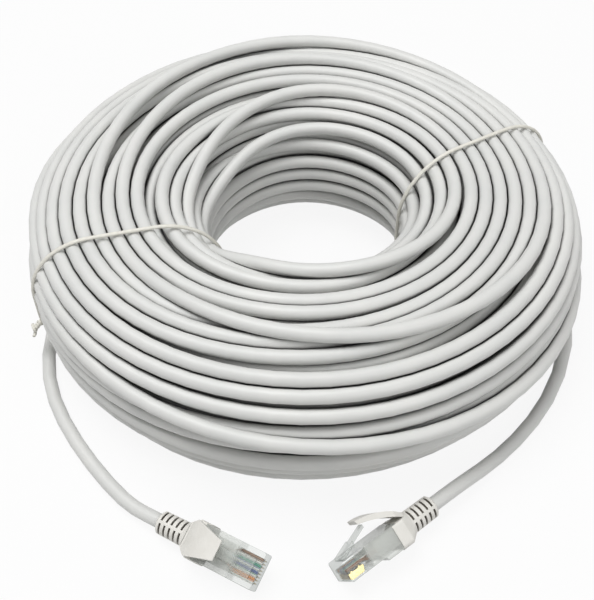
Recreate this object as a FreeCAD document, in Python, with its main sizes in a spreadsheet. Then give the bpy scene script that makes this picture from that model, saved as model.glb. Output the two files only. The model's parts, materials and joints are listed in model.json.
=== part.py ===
import FreeCAD
import Part
import Sketcher
import math
import os

# Coiled network patch cable with a clear 8P8C plug and a grooved boot at each end.
# Millimetres, +Z up. The cable is wound into a ring that lies flat on z = 0, and both ends
# come out at the front, towards -Y. Each plug is drawn along its own X axis, from the rear
# of the boot to the nose, with its latch on +Z, and is then set down where it lies.

Vector = FreeCAD.Vector
doc = FreeCAD.newDocument("PatchCable")

# Driving dimensions, in millimetres and degrees
sheet = doc.addObject("Spreadsheet::Sheet", "Sizes")
drivingSizes = (
    ("cordDiameter", 5.0),
    ("cordSides", 6),
    ("coilOuterRadius", 96.7),
    ("coilHoleRadius", 31.3),
    ("coilHeight", 55.1),
    ("coilCorner", 20.0),
    ("coilBack", 16.0),
    ("coilLoops", 23),
    ("coilStartAngle", 10.0),
    ("coilEndAngle", 160.0),
    ("coilStartDrop", 16.4),
    ("coilFirstStep", 7.5),
    ("crossingTurns", 1.6),
    ("flatShare", 0.1),
    ("softGap", 0.4),
    ("coreCorner", 15.0),
    ("tieDiameter", 1.1),
    ("tieGap", 0.45),
    ("tieLeftInner", 211.0),
    ("tieLeftOuter", 198.0),
    ("tieRightInner", 10.0),
    ("tieRightOuter", 24.0),
    ("tieFoot", 17.0),
    ("tieEndHeight", 20.5),
    ("tieEndOut", 5.0),
    ("tieEndBend", 5.0),
    ("tieDentInset", 4.0),
    ("leftBootX", -45.9),
    ("leftBootY", -88.0),
    ("leftTurn", -30.8),
    ("leftRoll", 22.5),
    ("leftNoseUp", 6.0),
    ("rightBootX", 39.1),
    ("rightBootY", -83.6),
    ("rightTurn", -141.9),
    ("rightRoll", 58.8),
    ("rightNoseUp", 0.0),
    ("bootStraight", 14.0),
    ("plugLength", 21.46),
    ("plugWidth", 11.68),
    ("plugTop", 3.6),
    ("noseHeight", 6.6),
    ("rearHeight", 7.9),
    ("noseRun", 13.2),
    ("noseBevel", 0.5),
    ("contactCount", 8),
    ("contactPitch", 1.02),
    ("contactThickness", 0.35),
    ("contactLength", 5.6),
    ("contactSetback", 0.86),
    ("slotWidth", 0.5),
    ("runGap", 0.2),
    ("wireDiameter", 0.95),
    ("wireRowHeight", 0.51),
    ("wireStop", 0.75),
    ("wireFlat", 6.2),
    ("wireSplit", 2.2),
    ("jacketInPlug", 8.5),
    ("cavityWidth", 8.4),
    ("fitGap", 0.05),
    ("latchHingeBack", 2.36),
    ("latchHingeUp", 0.15),
    ("latchKnuckle", 0.6),
    ("latchWidth", 6.2),
    ("latchNeck", 3.25),
    ("latchShoulder", 7.8),
    ("latchReach", 11.3),
    ("latchRise", 4.2),
    ("latchThickness", 1.0),
    ("hingeGap", 0.1),
    ("reliefRun", 8.0),
    ("bootLength", 17.6),
    ("bootGrip", 1.7),
    ("bootWall", 0.45),
    ("bootCorner", 1.6),
    ("bootShoulder", 3.7),
    ("reliefLength", 9.9),
    ("reliefRadius", 3.9),
    ("lipRadius", 3.75),
    ("lipBevel", 0.5),
    ("grooveCount", 5),
    ("grooveWidth", 0.75),
    ("groovePitch", 1.9),
    ("grooveFirst", 1.2),
    ("grooveFloor", 2.85),
    ("spineWidth", 1.0),
    ("tongueHingeBack", 5.4),
    ("tongueHingeUp", 0.7),
    ("tongueKnuckle", 0.8),
    ("tongueBackWidth", 7.8),
    ("tongueRootWidth", 11.6),
    ("tongueTipWidth", 6.3),
    ("tongueReach", 13.6),
    ("tongueRise", 6.5),
    ("tongueUnderReach", 13.3),
    ("tongueUnderRise", 5.2),
    ("tongueArch", 21.5),
    ("tongueUnderArch", 38.0),
    ("tongueRootAhead", 2.4),
    ("rampRear", 2.4),
    ("rampHeight", 4.8),
)


class Size:
    # a number of millimetres together with the sheet expression that gives it

    def __init__(self, number, text):
        self.number = number
        self.text = text

    def __add__(self, other):
        other = as_size(other)
        return Size(self.number + other.number, f"({self.text} + {other.text})")

    def __sub__(self, other):
        other = as_size(other)
        return Size(self.number - other.number, f"({self.text} - {other.text})")

    def __mul__(self, other):
        other = as_size(other)
        return Size(self.number * other.number, f"({self.text} * {other.text})")

    def __truediv__(self, other):
        other = as_size(other)
        return Size(self.number / other.number, f"({self.text} / {other.text})")

    def __neg__(self):
        return Size(-self.number, f"(0 - {self.text})")

    def root(self):
        return Size(math.sqrt(self.number), f"sqrt({self.text})")


def as_size(value):
    if isinstance(value, Size):
        return value
    return Size(float(value), f"({float(value)})")


dims = {}
for row, (alias, number) in enumerate(drivingSizes, start=1):
    sheet.set(f"A{row}", alias)
    sheet.set(f"B{row}", str(number))
    sheet.setAlias(f"B{row}", alias)
    dims[alias] = Size(float(number), f"Sizes.{alias}")
doc.recompute()


def mm(alias):
    return float(sheet.get(alias))


# Sketches and features

def new_sketch(body, role, lift=None):
    # an empty sketch on one of the body's own origin planes, moved along its normal by lift
    sketch = body.newObject("Sketcher::SketchObject", body.Name + "Sketch")
    plane = [item for item in body.Origin.OriginFeatures if item.Role == role][0]
    sketch.AttachmentSupport = (plane, [""])
    sketch.MapMode = "FlatFace"
    if lift is not None:
        sketch.AttachmentOffset = FreeCAD.Placement(Vector(0, 0, lift.number), FreeCAD.Rotation())
        sketch.setExpression("AttachmentOffset.Base.z", lift.text)
    return sketch


def bind(sketch, constraint, size):
    index = sketch.addConstraint(constraint)
    sketch.setExpression(f"Constraints[{index}]", size.text)


def arc_between(first, last, radius, side):
    # circle arc from first to last, its centre to the left (side 1) or right (side -1) of the way
    chord = last - first
    half = chord.Length / 2
    normal = Vector(-chord.y, chord.x, 0).normalize()
    centre = (first + last) * 0.5 + normal * (side * math.sqrt(radius * radius - half * half))
    begin, end = (first, last) if side > 0 else (last, first)
    angles = [math.atan2(point.y - centre.y, point.x - centre.x) for point in (begin, end)]
    circle = Part.Circle(centre, Vector(0, 0, 1), radius)
    return Part.ArcOfCircle(circle, angles[0], angles[1])


def outline(sketch, corners):
    # closed outline; a corner is (across, up), or (across, up, radius, side) where an arc follows it
    points = [Vector(as_size(corner[0]).number, as_size(corner[1]).number, 0) for corner in corners]
    ends = []
    for index, corner in enumerate(corners):
        first = points[index]
        last = points[(index + 1) % len(points)]
        if len(corner) == 2:
            line = sketch.addGeometry(Part.LineSegment(first, last))
            ends.append((line, 1, 2))
        else:
            arc = sketch.addGeometry(arc_between(first, last, corner[2].number, corner[3]))
            ends.append((arc, 1, 2) if corner[3] > 0 else (arc, 2, 1))
    for index, corner in enumerate(corners):
        edge, start, _ = ends[index]
        before, _, stop = ends[index - 1]
        sketch.addConstraint(Sketcher.Constraint("Coincident", before, stop, edge, start))
        for kind, axis, value in (("DistanceX", -2, corner[0]), ("DistanceY", -1, corner[1])):
            value = as_size(value)
            if value.number == 0:
                sketch.addConstraint(Sketcher.Constraint("PointOnObject", edge, start, axis))
            else:
                bind(sketch, Sketcher.Constraint(kind, -1, 1, edge, start, value.number), value)
        if len(corner) == 4:
            bind(sketch, Sketcher.Constraint("Radius", edge, corner[2].number), corner[2])
    return sketch


def rectangle(sketch, left, right, low, high):
    return outline(sketch, ((left, low), (right, low), (right, high), (left, high)))


def round_rectangle(sketch, width, low, high, radius):
    side = width / 2
    inner = side - radius
    return outline(sketch, (
        (-inner, low), (inner, low, radius, 1),
        (side, low + radius), (side, high - radius, radius, 1),
        (inner, high), (-inner, high, radius, 1),
        (-side, high - radius), (-side, low + radius, radius, 1),
    ))


def new_body(label):
    body = doc.addObject("PartDesign::Body", label)
    body.Label = label
    return body


def both_ways(body, kind, sketch, width):
    # pad or pocket of the given width, half of it on each side of the sketch
    feature = body.newObject("PartDesign::" + kind, body.Name + kind)
    feature.Profile = sketch
    feature.SideType = "Symmetric"
    feature.Length = width.number
    feature.setExpression("Length", width.text)
    doc.recompute()
    return feature


def one_way(body, kind, sketch, depth, reverse=False):
    feature = body.newObject("PartDesign::" + kind, body.Name + kind)
    feature.Profile = sketch
    feature.Length = depth.number
    feature.setExpression("Length", depth.text)
    feature.Reversed = reverse
    before = body.Shape.Volume if kind == "Pocket" else 0.0
    doc.recompute()
    if kind == "Pocket" and not body.Shape.Volume < before - 0.01:
        raise RuntimeError(f"{feature.Name} cuts nothing")
    return feature


def ruled_loft(body, first, last):
    feature = body.newObject("PartDesign::AdditiveLoft", body.Name + "Loft")
    feature.Profile = first
    feature.Sections = [last]
    feature.Ruled = True
    doc.recompute()
    return feature


def pattern_along(body, feature, role, length, count):
    pattern = body.newObject("PartDesign::LinearPattern", body.Name + "Pattern")
    pattern.Originals = [feature]
    axis = [item for item in body.Origin.OriginFeatures if item.Role == role][0]
    pattern.Direction = (axis, [""])
    pattern.Length = length.number
    pattern.setExpression("Length", length.text)
    pattern.Occurrences = int(count.number)
    pattern.setExpression("Occurrences", count.text)
    body.Tip = pattern
    doc.recompute()
    return pattern


# Cord routes and tubes

def polygon_profile(centre, along, radius, sides):
    # wire with its corners on a circle round centre, square to along, one flat side below
    across = along.cross(Vector(0, 0, 1))
    if across.Length < 0.1:
        across = along.cross(Vector(1, 0, 0))
    across.normalize()
    up = across.cross(along).normalize()
    corners = []
    for index in range(sides):
        angle = 2 * math.pi * (index + 0.5) / sides - math.pi / 2
        corners.append(centre + across * (radius * math.cos(angle)) + up * (radius * math.sin(angle)))
    return Part.makePolygon(corners + corners[:1])


def rounded_path(points, name, radii=None):
    # straight runs joined by tangent arcs, each as large as 0.45 of its shorter run allows
    edges = []
    sizes = []
    last = points[0]
    for index in range(1, len(points) - 1):
        corner = points[index]
        back = points[index - 1] - corner
        ahead = points[index + 1] - corner
        half = (math.pi - back.getAngle(ahead)) / 2
        if radii is None:
            radius = 0.45 * min(back.Length, ahead.Length) / math.tan(half)
        else:
            radius = radii[index - 1]
        reach = radius * math.tan(half)
        back.normalize()
        ahead.normalize()
        inward = (back + ahead).normalize()
        middle = corner + inward * (radius / math.cos(half) - radius)
        edges.append(Part.LineSegment(last, corner + back * reach).toShape())
        edges.append(Part.Arc(corner + back * reach, middle, corner + ahead * reach).toShape())
        last = corner + ahead * reach
        sizes.append(radius)
    edges.append(Part.LineSegment(last, points[-1]).toShape())
    print(f"{name}: arc radii " + ", ".join(f"{radius:.1f}" for radius in sizes))
    return Part.Wire(edges)


def tube(wire, along, diameter, sides, name):
    # one unbroken tube along the wire; its volume is set against section times length
    profile = polygon_profile(wire.Edges[0].firstVertex().Point, along, diameter / 2, sides)
    shape = wire.makePipeShell([profile], True, False)
    expected = Part.Face(profile).Area * wire.Length
    if abs(shape.Volume - expected) > 0.002 * expected:
        raise RuntimeError(f"{name}: volume {shape.Volume:.1f} is not {expected:.1f}")
    print(f"{name}: {wire.Length:.0f} mm long, volume {shape.Volume:.0f} of {expected:.0f}")
    return shape


def plain_feature(label, shape):
    feature = doc.addObject("Part::Feature", label)
    feature.Label = label
    feature.Shape = shape
    return feature


# The coil: one tube of turns that goes round the bundle's section, over a plain core

cordRadius = mm("cordDiameter") / 2
flatDepth = mm("flatShare") * mm("cordDiameter")
ringRadius = (mm("coilOuterRadius") + mm("coilHoleRadius")) / 2
halfWidth = (mm("coilOuterRadius") - mm("coilHoleRadius")) / 2 - cordRadius
halfHeight = (mm("coilHeight") + flatDepth) / 2 - cordRadius
middleHeight = cordRadius - flatDepth + halfHeight
corner = mm("coilCorner")
coilCentre = Vector(0, mm("coilBack"), 0)

wallLength = 2 * (halfHeight - corner)
cornerLength = math.pi * corner / 2
roofLength = 2 * (halfWidth - corner)
outlineLength = 2 * wallLength + 2 * roofLength + 4 * cornerLength


def section_point(distance):
    # point of the bundle's section outline, (outward, up) from its middle, for a distance
    # measured upward from the middle of the outer wall: wall, corner, top, corner, wall, ...
    distance = (distance + wallLength / 2) % outlineLength
    wide = halfWidth - corner
    tall = halfHeight - corner
    stretches = (
        (wallLength, (wide, 0), (1, 0), 0), (cornerLength, (wide, tall), None, 0),
        (roofLength, (0, tall), (0, 1), 90), (cornerLength, (-wide, tall), None, 90),
        (wallLength, (-wide, 0), (-1, 0), 180), (cornerLength, (-wide, -tall), None, 180),
        (roofLength, (0, -tall), (0, -1), 270), (cornerLength, (wide, -tall), None, 270),
    )
    for length, centre, normal, angle in stretches:
        if distance <= length:
            break
        distance -= length
    if normal is None:
        turn = math.radians(angle) + distance / corner
        return centre[0] + corner * math.cos(turn), centre[1] + corner * math.sin(turn)
    slide = distance - length / 2
    return (centre[0] + normal[0] * corner - normal[1] * slide,
            centre[1] + normal[1] * corner + normal[0] * slide)


coilTurns = mm("coilLoops") + (mm("coilEndAngle") - mm("coilStartAngle")) / 360
outerTurns = coilTurns - mm("crossingTurns")
crossingStart = wallLength * 1.5 + roofLength + cornerLength * 2.5
crossingEnd = outlineLength - wallLength / 2 - cornerLength * 0.75
stages = (
    (0.0, -mm("coilStartDrop")),
    (1.0, mm("coilFirstStep") - mm("coilStartDrop")),
    (outerTurns, crossingStart),
    (coilTurns, crossingEnd),
)


def coil_point(turn):
    # the turns step steadily round the outline and cross the underside in the last turns
    for (first, start), (last, stop) in zip(stages, stages[1:]):
        if turn <= last or last == coilTurns:
            distance = start + (stop - start) * (turn - first) / (last - first)
            break
    outward, up = section_point(distance)
    angle = math.radians(mm("coilStartAngle")) + 2 * math.pi * turn
    reach = ringRadius + outward
    return coilCentre + Vector(reach * math.cos(angle), reach * math.sin(angle), middleHeight + up)


def coil_tangent(turn):
    step = 0.001
    return (coil_point(min(turn + step, coilTurns)) - coil_point(max(turn - step, 0))).normalize()


def biarc(first, firstWay, last, lastWay):
    # two arcs that leave first along firstWay, meet smoothly and reach last along lastWay
    gap = last - first
    ways = firstWay + lastWay
    square = ways.dot(ways) - 4
    linear = -2 * gap.dot(ways)
    reach = (-linear - math.sqrt(linear * linear - 4 * square * gap.dot(gap))) / (2 * square)
    handles = (first + firstWay * reach, last - lastWay * reach)
    joint = (handles[0] + handles[1]) * 0.5
    arcs = []
    for begin, handle, end in ((first, handles[0], joint), (joint, handles[1], last)):
        chord = end - begin
        middle = (begin + end) * 0.5
        inward = (handle - middle).normalize()
        half = (handle - begin).getAngle(chord) / 2
        arcs.append(Part.Arc(begin, middle + inward * (chord.Length / 2 * math.tan(half)), end))
    return arcs


def make_coil_path():
    count = round(coilTurns * 2)
    stations = [coilTurns * index / count for index in range(count + 1)]
    points = [coil_point(turn) for turn in stations]
    ways = [coil_tangent(turn) for turn in stations]
    straight = mm("cordDiameter")
    begin = points[0] - ways[0] * straight
    end = points[-1] + ways[-1] * straight
    arcs = []
    for index in range(count):
        arcs += biarc(points[index], ways[index], points[index + 1], ways[index + 1])
    edges = [Part.LineSegment(begin, points[0]).toShape()]
    edges += [arc.toShape() for arc in arcs]
    edges.append(Part.LineSegment(points[-1], end).toShape())
    return Part.Wire(edges), arcs, (begin, ways[0]), (end, ways[-1])


def least_gap(arcs, perArc=10):
    # clear distance between turns, on points that are spread evenly along every arc
    points = []
    for arc in arcs:
        span = arc.LastParameter - arc.FirstParameter
        for index in range(perArc):
            points.append(arc.value(arc.FirstParameter + span * index / perArc))
    apart = 2 * perArc
    least = min(
        (points[one] - points[other]).Length
        for one in range(len(points))
        for other in range(one + apart, len(points))
        if abs(points[one].z - points[other].z) < 12
    )
    return least - mm("cordDiameter")


coilPath, coilArcs, coilBegin, coilEnd = make_coil_path()
print(f"coil: {coilTurns:.2f} turns, least gap of the turns {least_gap(coilArcs):.2f} mm")
turnsShape = tube(coilPath, coilBegin[1], mm("cordDiameter"), int(mm("cordSides")), "coil turns")


# Twist ties

tieRadius = mm("tieDiameter") / 2


def tie_route(innerAngle, outerAngle):
    # loop round the bundle in an upright plane, its two ends side by side at the outer wall
    off = mm("tieGap") + tieRadius
    ends = []
    for angle, reach in ((innerAngle, mm("coilHoleRadius") - off), (outerAngle, mm("coilOuterRadius") + off)):
        turn = math.radians(angle)
        ends.append(coilCentre + Vector(reach * math.cos(turn), reach * math.sin(turn), 0))
    way = ends[1] - ends[0]
    width = way.Length
    way.normalize()
    side = Vector(-way.y, way.x, 0)
    top = mm("coilHeight") + off
    bend = corner + cordRadius + off

    def at(out, up, aside):
        return ends[0] + way * out + Vector(0, 0, up) + side * aside

    end = mm("tieEndHeight")
    out = mm("tieEndOut")
    points = [
        at(width + out * 0.84, end * 0.44, 1.5), at(width, end, 0.9), at(width, top, 0.6), at(0, top, 0.2),
        at(0, tieRadius, -0.2), at(width, tieRadius, -0.6), at(width, end, -0.9),
        at(width + out, end + out * 0.3, -2.0),
    ]
    radii = [mm("tieEndBend"), bend, bend, mm("tieFoot"), mm("tieFoot"), mm("tieEndBend") * 0.6]
    foot = (at(0, 0, -0.4), way, side, width)
    return points, radii, foot


def tie_dent(foot):
    # the shallow channel that a tie keeps free under the turns
    start, way, side, width = foot
    wide = mm("tieDiameter") + 4 * mm("tieGap")
    corners = []
    inset = mm("tieDentInset")
    for out, aside in ((inset, -1), (width - inset, -1), (width - inset, 1), (inset, 1)):
        corners.append(start + way * out + side * (aside * wide / 2) + Vector(0, 0, -1))
    face = Part.Face(Part.makePolygon(corners + corners[:1]))
    return face.extrude(Vector(0, 0, 1 + mm("tieDiameter") + mm("softGap")))


tieShapes = {}
dents = []
for place in ("Left", "Right"):
    points, radii, foot = tie_route(mm(f"tie{place}Inner"), mm(f"tie{place}Outer"))
    name = f"tie_{place.lower()}"
    path = rounded_path(points, name, radii)
    tieShapes[name] = tube(path, points[1] - points[0], mm("tieDiameter"), int(mm("cordSides")), name)
    dents.append(tie_dent(foot))
for name, shape in tieShapes.items():
    plain_feature(name, shape)

reach = mm("coilOuterRadius") * 2
below = Part.makeBox(reach * 2, reach * 2, reach, Vector(-reach, -reach, -reach))
plain_feature("coil_turns", turnsShape.cut([below] + dents))

core = new_body("coil_core")
coreSide = (dims["coilOuterRadius"] - dims["coilHoleRadius"]) / 2 - dims["cordDiameter"] - dims["softGap"]
coreMiddle = (dims["coilOuterRadius"] + dims["coilHoleRadius"]) / 2
coreTop = dims["coilHeight"] - dims["cordDiameter"] - dims["softGap"]
coreBottom = dims["cordDiameter"] * (as_size(1) - dims["flatShare"]) + dims["softGap"]
cut = dims["coreCorner"]
coreSketch = outline(new_sketch(core, "XZ_Plane"), (
    (coreMiddle - coreSide + cut, coreBottom), (coreMiddle + coreSide - cut, coreBottom),
    (coreMiddle + coreSide, coreBottom + cut), (coreMiddle + coreSide, coreTop - cut),
    (coreMiddle + coreSide - cut, coreTop), (coreMiddle - coreSide + cut, coreTop),
    (coreMiddle - coreSide, coreTop - cut), (coreMiddle - coreSide, coreBottom + cut),
))
coreRing = core.newObject("PartDesign::Revolution", "CoreRing")
coreRing.Profile = coreSketch
coreRing.ReferenceAxis = (coreSketch, ["V_Axis"])
coreRing.Angle = 360
core.Placement = FreeCAD.Placement(coilCentre, FreeCAD.Rotation())
core.setExpression("Placement.Base.y", "Sizes.coilBack")


# The plug's pieces, in the plug's own frame

boot = dims["bootLength"]
plugRear = boot - dims["bootGrip"]
nose = plugRear + dims["plugLength"]
top = dims["plugTop"]
noseBottom = top - dims["noseHeight"]
rearBottom = top - dims["rearHeight"]
step = nose - dims["noseRun"]
bevel = dims["noseBevel"]
cordHalf = dims["cordDiameter"] / 2
wireHalf = dims["wireDiameter"] / 2
jacketEnd = plugRear + dims["jacketInPlug"]
wireEnd = nose - dims["wireStop"]
rowHeight = dims["wireRowHeight"]
flatStart = wireEnd - dims["wireFlat"]
splitStart = flatStart - dims["wireSplit"]
rowOffset = dims["contactPitch"] * (dims["contactCount"] - 1) / 2
latchHinge = (nose - dims["latchHingeBack"], top + dims["latchHingeUp"])
latchSeat = dims["latchKnuckle"] + dims["hingeGap"]
tongueHinge = (boot - dims["tongueHingeBack"], top + dims["tongueHingeUp"])
tongueSeat = dims["tongueKnuckle"] + dims["hingeGap"]


def make_housing(label):
    body = new_body(label)
    shell = outline(new_sketch(body, "XZ_Plane"), (
        (plugRear, rearBottom), (step - bevel, rearBottom), (step, noseBottom),
        (nose - bevel, noseBottom), (nose, noseBottom + bevel), (nose, top - bevel),
        (nose - bevel, top), (plugRear, top),
    ))
    both_ways(body, "Pad", shell, dims["plugWidth"])
    # upright front edges
    corners = []
    for index, edge in enumerate(body.Shape.Edges, start=1):
        upright = abs(edge.firstVertex().Point.z - edge.lastVertex().Point.z) > mm("noseHeight") / 2
        if upright and abs(edge.CenterOfMass.x - nose.number) < 0.01:
            corners.append(f"Edge{index}")
    block = body.Tip
    chamfer = body.newObject("PartDesign::Chamfer", label + "Chamfer")
    chamfer.Base = (block, corners)
    chamfer.Size = bevel.number
    chamfer.setExpression("Size", bevel.text)
    body.Tip = chamfer
    doc.recompute()
    # room for the jacket at the rear and for the row of wires ahead of it
    gap = dims["runGap"]
    hollow = outline(new_sketch(body, "XZ_Plane"), (
        (plugRear - 1, -cordHalf - gap), (jacketEnd + gap, -cordHalf - gap),
        (jacketEnd + gap * 6, -rowHeight - wireHalf - gap), (splitStart, -rowHeight - wireHalf - gap),
        (flatStart + gap * 4, rowHeight - wireHalf - dims["fitGap"]),
        (wireEnd + gap, rowHeight - wireHalf - dims["fitGap"]),
        (wireEnd + gap, rowHeight + wireHalf + dims["fitGap"]), (jacketEnd + gap * 6, rowHeight + wireHalf + gap),
        (jacketEnd + gap, cordHalf + gap), (plugRear - 1, cordHalf + gap),
    ))
    both_ways(body, "Pocket", hollow, dims["cavityWidth"])
    # seat of the latch, and the shallow relief under its arm
    seat = outline(new_sketch(body, "XZ_Plane"), (
        (latchHinge[0] - dims["reliefRun"], top), (latchHinge[0], latchHinge[1] - latchSeat, latchSeat, 1),
        (latchHinge[0] + latchSeat, latchHinge[1]), (latchHinge[0] + latchSeat, top + 1),
        (latchHinge[0] - dims["reliefRun"], top + 1),
    ))
    both_ways(body, "Pocket", seat, dims["latchWidth"] + gap * 2)
    # pressed-in bars over the jacket and over the wires, seen as recesses from below
    jacketBar = new_sketch(body, "XY_Plane", rearBottom)
    barHalf = dims["cavityWidth"] / 2 - 1
    rectangle(jacketBar, boot + 0.8, step - 1.4, -barHalf, barHalf)
    one_way(body, "Pocket", jacketBar, dims["bootWall"] * 1.6, True)
    wireBar = new_sketch(body, "XY_Plane", noseBottom)
    rectangle(wireBar, splitStart - 2.6, splitStart - 0.6, -barHalf, barHalf)
    one_way(body, "Pocket", wireBar, dims["bootWall"] * 1.6, True)
    # one slot for each contact
    slot = new_sketch(body, "XY_Plane", noseBottom)
    slotEnd = nose - dims["contactSetback"] + gap
    slotHalf = dims["slotWidth"] / 2
    rectangle(slot, slotEnd - dims["contactLength"] - gap * 2, slotEnd, -rowOffset - slotHalf, -rowOffset + slotHalf)
    first = one_way(body, "Pocket", slot, rowHeight - wireHalf - noseBottom, True)
    pattern_along(body, first, "Y_Axis", rowOffset * 2, dims["contactCount"])
    return body


def make_latch(label):
    body = new_body(label)
    across, up = latchHinge
    knuckle = dims["latchKnuckle"]
    endLow = up - knuckle + dims["latchRise"] + 0.1
    lever = outline(new_sketch(body, "XZ_Plane"), (
        (across + knuckle, up, knuckle, 1), (across, up + knuckle),
        (across - dims["latchReach"], endLow + dims["latchThickness"]),
        (across - dims["latchReach"], endLow), (across, up - knuckle, knuckle, 1),
    ))
    both_ways(body, "Pad", lever, dims["latchWidth"])
    for side in (1, -1):
        flank = new_sketch(body, "XY_Plane")
        edges = sorted((dims["latchNeck"] / 2 * side, dims["latchWidth"] * side), key=lambda size: size.number)
        rectangle(flank, across - dims["latchReach"] - 1, nose - dims["latchShoulder"], edges[0], edges[1])
        both_ways(body, "Pocket", flank, dims["plugLength"] * 2)
    return body


def make_contacts(label):
    # eight blades, each with two points that reach up to its wire
    low = noseBottom + dims["runGap"]
    high = rowHeight - wireHalf - dims["runGap"]
    front = nose - dims["contactSetback"]
    rear = front - dims["contactLength"]
    shoulder = high - 0.6
    blade = doc.addObject("Sketcher::SketchObject", label + "Sketch")
    blade.Placement = FreeCAD.Placement(Vector(), FreeCAD.Rotation(Vector(1, 0, 0), 90))
    outline(blade, (
        (rear, shoulder - 0.4), (rear + 0.7, low), (front - 0.5, low), (front, low + 0.5),
        (front, shoulder), (front - 0.8, shoulder), (front - 1.2, high), (front - 1.6, shoulder),
        (rear + 1.8, shoulder), (rear + 1.4, high), (rear + 1.0, shoulder), (rear, shoulder),
    ))
    blades = []
    for index in range(int(mm("contactCount"))):
        prism = doc.addObject("Part::Extrusion", f"{label}Blade")
        prism.Base = blade
        prism.DirMode = "Custom"
        prism.Dir = Vector(0, 1, 0)
        prism.Solid = True
        prism.LengthFwd = mm("contactThickness")
        prism.setExpression("LengthFwd", "Sizes.contactThickness")
        place = f"Sizes.contactPitch * ({index} - (Sizes.contactCount - 1) / 2) - Sizes.contactThickness / 2"
        prism.setExpression("Placement.Base.y", place)
        blades.append(prism)
    group = doc.addObject("Part::Compound", label)
    group.Label = label
    group.Links = blades
    return group


def make_boot(label):
    body = new_body(label)
    relief = dims["reliefLength"]
    lip = dims["lipBevel"]
    profile = outline(new_sketch(body, "XZ_Plane"), (
        (0, 0), (relief, 0), (relief, dims["reliefRadius"]), (lip, dims["lipRadius"]),
        (0, dims["lipRadius"] - lip),
    ))
    barrel = body.newObject("PartDesign::Revolution", label + "Barrel")
    barrel.Profile = profile
    barrel.ReferenceAxis = (profile, ["H_Axis"])
    barrel.Angle = 360
    doc.recompute()
    wall = dims["bootWall"]
    wide = dims["plugWidth"] + wall * 2
    low = rearBottom - wall
    high = top + wall
    neck = round_rectangle(
        new_sketch(body, "YZ_Plane", relief), dims["reliefRadius"] * 2 + 0.2,
        -dims["reliefRadius"], dims["reliefRadius"], dims["reliefRadius"] - 0.3,
    )
    mouth = round_rectangle(
        new_sketch(body, "YZ_Plane", relief + dims["bootShoulder"]), wide, low, high, dims["bootCorner"],
    )
    ruled_loft(body, neck, mouth)
    collar = round_rectangle(
        new_sketch(body, "YZ_Plane", relief + dims["bootShoulder"]), wide, low, high, dims["bootCorner"],
    )
    one_way(body, "Pad", collar, boot - relief - dims["bootShoulder"])
    # ramp that leads up to the back of the tongue
    across, up = tongueHinge
    rampRear = new_sketch(body, "YZ_Plane", relief)
    rampFront = new_sketch(body, "YZ_Plane", across - tongueSeat * 0.7)
    rectangle(rampRear, -dims["rampRear"] / 2, dims["rampRear"] / 2, cordHalf, dims["reliefRadius"])
    rectangle(rampFront, -dims["tongueBackWidth"] / 2, dims["tongueBackWidth"] / 2, cordHalf, dims["rampHeight"])
    ruled_loft(body, rampRear, rampFront)
    # bore of the cable, and the mouth that grips the plug
    bore = new_sketch(body, "YZ_Plane", boot)
    circle = bore.addGeometry(Part.Circle(Vector(), Vector(0, 0, 1), cordRadius + mm("fitGap")))
    bore.addConstraint(Sketcher.Constraint("Coincident", circle, 3, -1, 1))
    bind(bore, Sketcher.Constraint("Radius", circle, cordRadius + mm("fitGap")), cordHalf + dims["fitGap"])
    one_way(body, "Pocket", bore, boot + 1)
    grip = new_sketch(body, "YZ_Plane", boot)
    fit = dims["fitGap"]
    half = dims["plugWidth"] / 2 + fit
    rectangle(grip, -half, half, rearBottom - fit, top + fit)
    one_way(body, "Pocket", grip, dims["bootGrip"] + fit)
    # open back for the tongue, round where its knuckle sits
    seatHalf = tongueSeat * math.sqrt(0.5)
    back = outline(new_sketch(body, "XZ_Plane"), (
        (across - seatHalf, up + seatHalf, tongueSeat, 1), (across, up - tongueSeat),
        (boot + 1, up - tongueSeat), (boot + 1, high + 2), (across - seatHalf, high + 2),
    ))
    both_ways(body, "Pocket", back, wide + 1)
    # rows of grooves between four spines
    ring = new_sketch(body, "YZ_Plane", dims["grooveFirst"] + dims["grooveWidth"])
    floor = dims["grooveFloor"]
    rim = dims["reliefRadius"] + 0.6
    spine = dims["spineWidth"] / 2
    inner = (floor * floor - spine * spine).root()
    outer = (rim * rim - spine * spine).root()
    for right, upper in ((1, 1), (-1, 1), (-1, -1), (1, -1)):
        way = right * upper
        outline(ring, (
            (spine * right, inner * upper), (spine * right, outer * upper, rim, -way),
            (outer * right, spine * upper), (inner * right, spine * upper, floor, way),
        ))
    groove = one_way(body, "Pocket", ring, dims["grooveWidth"])
    pattern_along(body, groove, "X_Axis", dims["groovePitch"] * (dims["grooveCount"] - 1), dims["grooveCount"])
    return body


def make_tongue(label):
    body = new_body(label)
    across, up = tongueHinge
    knuckle = dims["tongueKnuckle"]
    arm = outline(new_sketch(body, "XZ_Plane"), (
        (across - knuckle, up, knuckle, 1),
        (across, up - knuckle, dims["tongueUnderArch"], -1),
        (across + dims["tongueUnderReach"], up + dims["tongueUnderRise"]),
        (across + dims["tongueReach"], up + dims["tongueRise"], dims["tongueArch"], 1),
        (across, up + knuckle, knuckle, 1),
    ))
    both_ways(body, "Pad", arm, dims["tongueRootWidth"])
    # seen from above: widens from the knuckle to the root, then narrows to the tip
    back = dims["tongueBackWidth"] / 2
    root = dims["tongueRootWidth"] / 2
    tip = dims["tongueTipWidth"] / 2
    near = across - knuckle
    far = across + dims["tongueReach"]
    for side in (1, -1):
        flank = new_sketch(body, "XY_Plane")
        outline(flank, (
            (near, back * side), (across + dims["tongueRootAhead"], root * side), (far, tip * side),
            (far + 1, tip * side), (far + 1, (root + 1) * side), (near - 1, (root + 1) * side),
            (near - 1, back * side),
        ))
        both_ways(body, "Pocket", flank, dims["plugLength"] * 2)
    return body


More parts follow.
